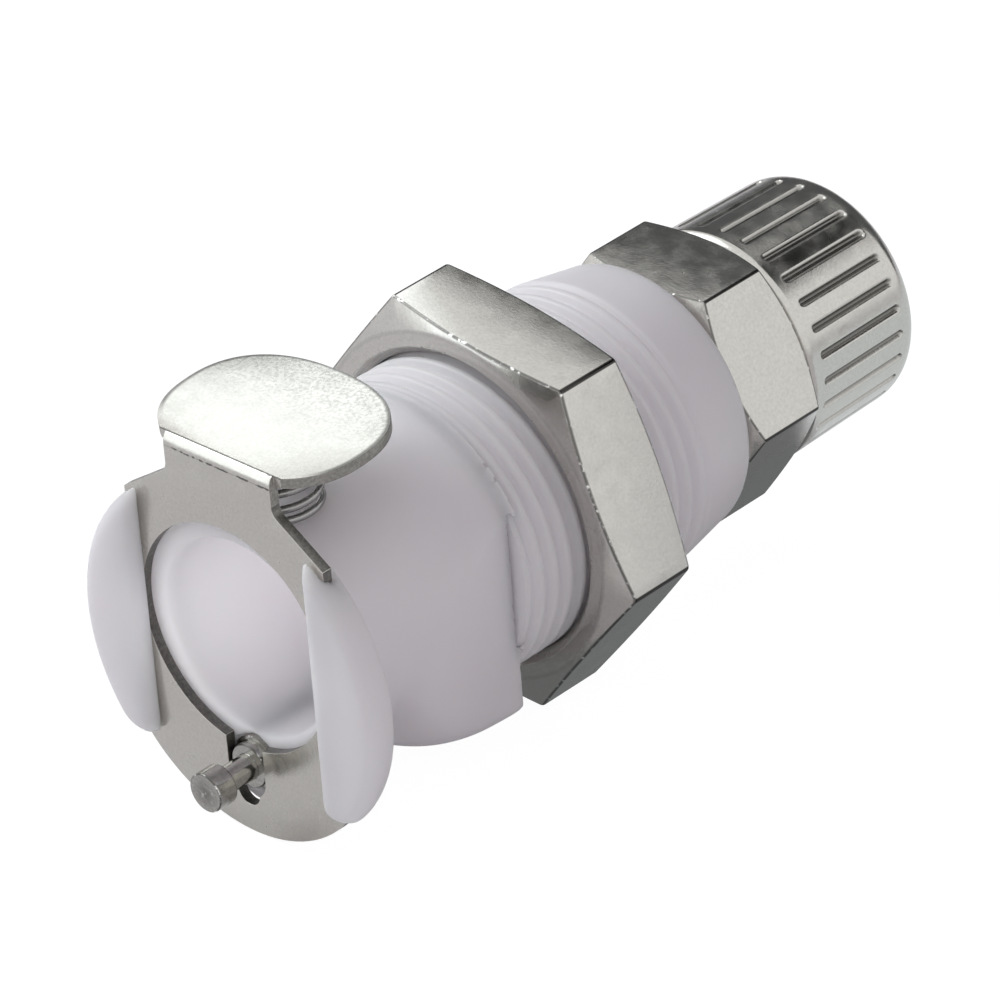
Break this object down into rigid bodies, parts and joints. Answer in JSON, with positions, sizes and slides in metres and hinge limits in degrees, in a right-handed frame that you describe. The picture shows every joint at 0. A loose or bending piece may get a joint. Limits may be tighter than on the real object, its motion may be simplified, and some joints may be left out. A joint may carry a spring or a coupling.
{
  "type": "panel-mount quick disconnect coupling",
  "caption": "Plastic panel-mount quick disconnect coupling body with a steel thumb latch, a hex panel nut and a fluted compression nut for flexible tube.",
  "frame": {"origin": "on the flow axis, in the plane of the flange face that seats on the panel", "axes": "+Y along the flow axis from the plug socket to the tube nut, +Z towards the thumb pad, +X to the right of someone facing the socket's mouth from the front"},
  "size_m": [0.029, 0.0606, 0.0286],
  "materials": {
    "acetal_white": "white acetal moulding, soft satin, slightly translucent",
    "latch_steel": "tumbled stainless sheet, bright",
    "pin_steel": "turned stainless bar",
    "spring_steel": "drawn stainless wire",
    "nickel_plate": "brass bar, nickel plated, fine machined grain",
    "valve_acetal": "white acetal, satin",
    "seal_rubber": "black nitrile"
  },
  "bodies": {
    "coupling_body": {"body": "acetal_white", "tube_adapter": "nickel_plate", "adapter_seal": "seal_rubber", "latch_spring": "spring_steel", "lock_pin_spring": "spring_steel", "valve_spring": "spring_steel"},
    "latch": {"thumb_latch": "latch_steel"},
    "pin": {"lock_pin": "pin_steel"},
    "valve": {"valve_poppet": "valve_acetal", "valve_seal": "seal_rubber"},
    "panel_nut_body": {"panel_nut": "nickel_plate"},
    "tube_nut_body": {"compression_nut": "nickel_plate"}
  },
  "joints": [
    {"name": "latch_slide", "type": "slide", "parent": "coupling_body", "child": "latch", "axis": [0, 0, 1], "range_m": [0, 0.0018], "deforming": ["latch_spring"]},
    {"name": "pin_slide", "type": "slide", "parent": "coupling_body", "child": "pin", "axis": [0, 1, 0], "range_m": [0, 0.0021], "deforming": ["lock_pin_spring"]},
    {"name": "valve_slide", "type": "slide", "parent": "coupling_body", "child": "valve", "axis": [0, 1, 0], "range_m": [0, 0.003], "stiffness_N_per_m": 300, "springref_m": -0.004, "deforming": ["valve_spring"]},
    {"name": "panel_nut_turn", "type": "hinge", "parent": "coupling_body", "child": "panel_nut_body", "pos_m": [0, 0.0078, 0], "axis": [0, 1, 0], "continuous": true},
    {"name": "tube_nut_turn", "type": "hinge", "parent": "coupling_body", "child": "tube_nut_body", "pos_m": [0, 0.035, 0], "axis": [0, 1, 0], "continuous": true}
  ],
  "couplings": [
    {"joint": "pin_slide", "follows": "latch_slide", "ratio": 1.1667}
  ]
}
